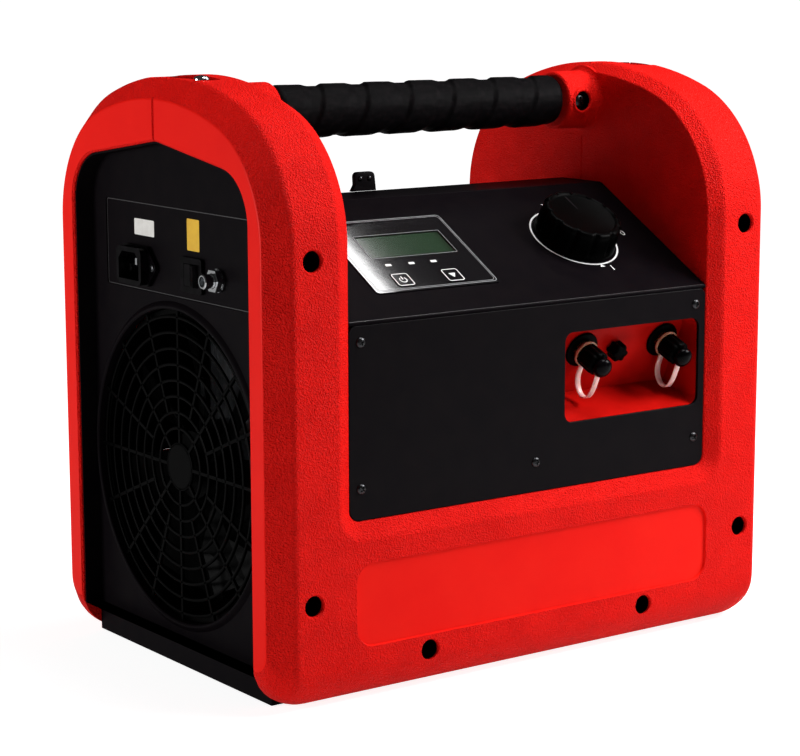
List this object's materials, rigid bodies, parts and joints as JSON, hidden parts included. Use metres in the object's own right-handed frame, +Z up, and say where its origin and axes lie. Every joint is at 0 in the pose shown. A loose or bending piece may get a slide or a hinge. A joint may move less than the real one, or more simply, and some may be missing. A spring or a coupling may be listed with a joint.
{
  "type": "refrigerant recovery machine",
  "caption": "Portable refrigerant recovery machine: arched moulded case with a carrying handle, sloping control face, flare ports in a recess, a fan grille end and the machinery inside.",
  "frame": {"origin": "bottom centre of the machine, on the floor it stands on", "axes": "+X along the handle, to the right seen from the front; the control face looks to -Y; +Z up"},
  "size_m": [0.385, 0.26, 0.3625],
  "materials": {
    "red_moulded": "fine pebbled red moulding",
    "black_moulded": "satin black moulding",
    "black_painted_steel": "satin black paint",
    "switch_black": "glossy black plastic",
    "wrapped_grip": "wrapped cushion tape",
    "zinc_plated_steel": "zinc plated",
    "chromed_steel": "polished",
    "turned_brass": "turned",
    "copper_tube": "drawn copper",
    "coil_aluminium": "finned coil",
    "cast_aluminium": "as cast",
    "black_rubber": "plain",
    "printed_film": "printed polyester film",
    "display_glass": "greenish liquid crystal behind a clear face",
    "circuit_board": "solder resist",
    "tether_plastic": "translucent soft plastic"
  },
  "bodies": {
    "case": {"front_shell": "red_moulded", "rear_shell": "red_moulded", "port_tray": "red_moulded", "left_panel": "black_moulded", "right_panel": "black_moulded", "control_cover": "black_moulded", "rear_tab": "black_moulded", "inlet_washer": "black_moulded", "outlet_washer": "black_moulded", "run_capacitor": "black_moulded", "front_plate": "black_painted_steel", "rear_plate": "black_painted_steel", "connection_plate": "black_painted_steel", "base_pan": "black_painted_steel", "power_inlet": "switch_black", "switch_frame": "switch_black", "handle_grip": "wrapped_grip", "handle_tube": "zinc_plated_steel", "fan_motor": "zinc_plated_steel", "fan_bracket": "zinc_plated_steel", "filter_drier": "zinc_plated_steel", "low_pressure_switch": "zinc_plated_steel", "high_pressure_switch": "zinc_plated_steel", "strap_stud": "chromed_steel", "sensor_socket": "chromed_steel", "sensor_nut": "chromed_steel", "valve_block": "turned_brass", "inlet_port": "turned_brass", "outlet_port": "turned_brass", "inlet_tube": "copper_tube", "suction_tube": "copper_tube", "discharge_tube": "copper_tube", "liquid_tube": "copper_tube", "condenser": "coil_aluminium", "compressor_motor": "cast_aluminium", "crankcase": "cast_aluminium", "cylinder_head_front": "cast_aluminium", "cylinder_head_rear": "cast_aluminium", "rubber_mount_1": "black_rubber", "rubber_mount_2": "black_rubber", "rubber_mount_3": "black_rubber", "rubber_mount_4": "black_rubber", "membrane_panel": "printed_film", "display_module": "display_glass", "control_board": "circuit_board", "inlet_tether": "tether_plastic", "outlet_tether": "tether_plastic"},
    "selector": {"selector_knob": "black_moulded", "valve_stem": "zinc_plated_steel"},
    "power_button": {"power_key": "printed_film"},
    "step_button": {"step_key": "printed_film"},
    "mains_rocker": {"switch_rocker": "switch_black"},
    "fan": {"fan_impeller": "black_moulded"},
    "bleed_valve": {"bleed_knob": "black_moulded"},
    "inlet_end": {"inlet_cap_button": "black_moulded"},
    "inlet_cover": {"inlet_cap": "black_moulded"},
    "outlet_end": {"outlet_cap_button": "black_moulded"},
    "outlet_cover": {"outlet_cap": "black_moulded"}
  },
  "joints": [
    {"name": "selector_turn", "type": "hinge", "parent": "case", "child": "selector", "pos_m": [0.0728, -0.07108, 0.25444], "axis": [0, -0.4924, 0.8704], "range_deg": [-270, 0]},
    {"name": "power_press", "type": "slide", "parent": "case", "child": "power_button", "axis": [0, 0.4924, -0.8704], "range_m": [0, 0.0006], "stiffness_N_per_m": 800, "springref_m": -0.001},
    {"name": "step_press", "type": "slide", "parent": "case", "child": "step_button", "axis": [0, 0.4924, -0.8704], "range_m": [0, 0.0006], "stiffness_N_per_m": 800, "springref_m": -0.001},
    {"name": "mains_rock", "type": "hinge", "parent": "case", "child": "mains_rocker", "pos_m": [-0.1784, -0.0212, 0.2446], "axis": [0, 0, 1], "range_deg": [0, 18]},
    {"name": "fan_spin", "type": "hinge", "parent": "case", "child": "fan", "pos_m": [-0.16, 0, 0.1249], "axis": [1, 0, 0], "continuous": true},
    {"name": "bleed_turn", "type": "hinge", "parent": "case", "child": "bleed_valve", "pos_m": [0.079, -0.1032, 0.18721], "axis": [0, -0.9135, -0.4067], "range_deg": [0, 360]},
    {"name": "inlet_cap_rise", "type": "slide", "parent": "case", "child": "inlet_end", "axis": [0, -0.9135, -0.4067], "range_m": [0, 0.00635], "deforming": ["inlet_tether"]},
    {"name": "inlet_cap_turn", "type": "hinge", "parent": "inlet_end", "child": "inlet_cover", "pos_m": [0.0515, -0.1041, 0.18922], "axis": [0, -0.9135, -0.4067], "range_deg": [0, 1800]},
    {"name": "outlet_cap_rise", "type": "slide", "parent": "case", "child": "outlet_end", "axis": [0, -0.9135, -0.4067], "range_m": [0, 0.00635], "deforming": ["outlet_tether"]},
    {"name": "outlet_cap_turn", "type": "hinge", "parent": "outlet_end", "child": "outlet_cover", "pos_m": [0.1185, -0.1041, 0.18922], "axis": [0, -0.9135, -0.4067], "range_deg": [0, 1800]}
  ],
  "couplings": [
    {"joint": "inlet_cap_turn", "follows": "inlet_cap_rise", "rad_per_m": 4947.4},
    {"joint": "outlet_cap_turn", "follows": "outlet_cap_rise", "rad_per_m": 4947.4}
  ]
}
